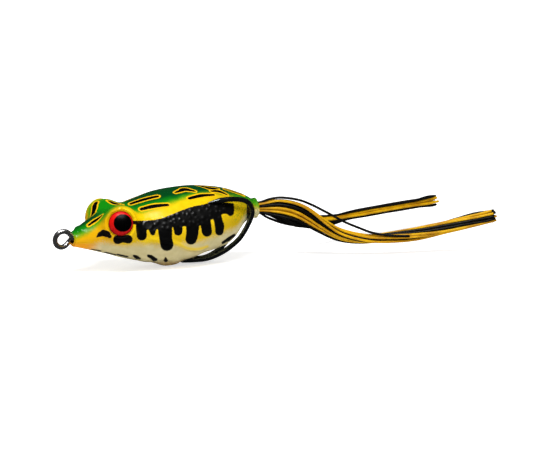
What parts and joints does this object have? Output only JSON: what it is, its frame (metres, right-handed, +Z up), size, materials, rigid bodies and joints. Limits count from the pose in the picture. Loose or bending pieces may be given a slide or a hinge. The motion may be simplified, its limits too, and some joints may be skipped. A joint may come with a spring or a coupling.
{
  "type": "hollow-body frog lure",
  "caption": "Hollow soft-bodied frog fishing lure with an upturned double hook hugging its back, domed eyes and two trailing rubber-strand legs.",
  "frame": {"origin": "centre of the small flat under the keel pad", "axes": "+X from nose to tail, +Y to the frog's right side, +Z up; the keel flat faces -Z"},
  "size_m": [0.1473, 0.0517, 0.0253],
  "materials": {
    "painted_soft_body": "soft moulded shell, glossy sprayed green, yellow, black and cream",
    "black_nickel_wire": "black nickel plated hook wire",
    "cast_weight": "dull grey cast weight",
    "domed_eye": "red ring and black pupil under a clear dome",
    "rubber_collar": "black moulded rubber",
    "gold_rubber": "golden yellow skirt rubber, slight sheen",
    "black_rubber": "black skirt rubber, slight sheen"
  },
  "bodies": {
    "body": {"body_shell": "painted_soft_body", "eye_left": "domed_eye", "eye_right": "domed_eye"},
    "hook": {"double_hook": "black_nickel_wire", "keel_weight": "cast_weight"},
    "skirt": {"skirt_collar": "rubber_collar"},
    "leg_left": {"leg_left_strand_01": "gold_rubber", "leg_left_strand_02": "black_rubber", "leg_left_strand_03": "black_rubber", "leg_left_strand_04": "gold_rubber", "leg_left_strand_05": "gold_rubber", "leg_left_strand_06": "black_rubber", "leg_left_strand_07": "gold_rubber", "leg_left_strand_08": "black_rubber", "leg_left_strand_09": "gold_rubber", "leg_left_strand_10": "black_rubber", "leg_left_strand_11": "gold_rubber", "leg_left_strand_12": "black_rubber", "leg_left_strand_13": "black_rubber", "leg_left_strand_14": "black_rubber", "leg_left_strand_15": "gold_rubber", "leg_left_strand_16": "gold_rubber", "leg_left_strand_17": "black_rubber", "leg_left_strand_18": "gold_rubber", "leg_left_loose_strand": "black_rubber"},
    "leg_right": {"leg_right_strand_01": "black_rubber", "leg_right_strand_02": "black_rubber", "leg_right_strand_03": "black_rubber", "leg_right_strand_04": "black_rubber", "leg_right_strand_05": "black_rubber", "leg_right_strand_06": "black_rubber", "leg_right_strand_07": "black_rubber", "leg_right_strand_08": "gold_rubber", "leg_right_strand_09": "gold_rubber", "leg_right_strand_10": "gold_rubber", "leg_right_strand_11": "gold_rubber", "leg_right_strand_12": "gold_rubber", "leg_right_strand_13": "gold_rubber", "leg_right_strand_14": "black_rubber", "leg_right_strand_15": "black_rubber", "leg_right_strand_16": "black_rubber", "leg_right_strand_17": "black_rubber", "leg_right_strand_18": "black_rubber", "leg_right_loose_strand": "black_rubber"}
  },
  "joints": [
    {"name": "hook_swing", "type": "hinge", "parent": "body", "child": "hook", "pos_m": [-0.0329, 0, 0.0111], "axis": [0, -1, 0], "range_deg": [0, 0.4]},
    {"name": "skirt_lift", "type": "hinge", "parent": "body", "child": "skirt", "pos_m": [0.0318, 0, 0.01605], "axis": [0, -1, 0], "range_deg": [-29, 25]},
    {"name": "leg_left_sweep", "type": "hinge", "parent": "skirt", "child": "leg_left", "pos_m": [0.0332, -0.00116, 0.01595], "axis": [0, 0, -1], "range_deg": [-8, 45]},
    {"name": "leg_right_sweep", "type": "hinge", "parent": "skirt", "child": "leg_right", "pos_m": [0.0332, 0.00116, 0.01595], "axis": [0, 0, 1], "range_deg": [-8, 45]}
  ]
}
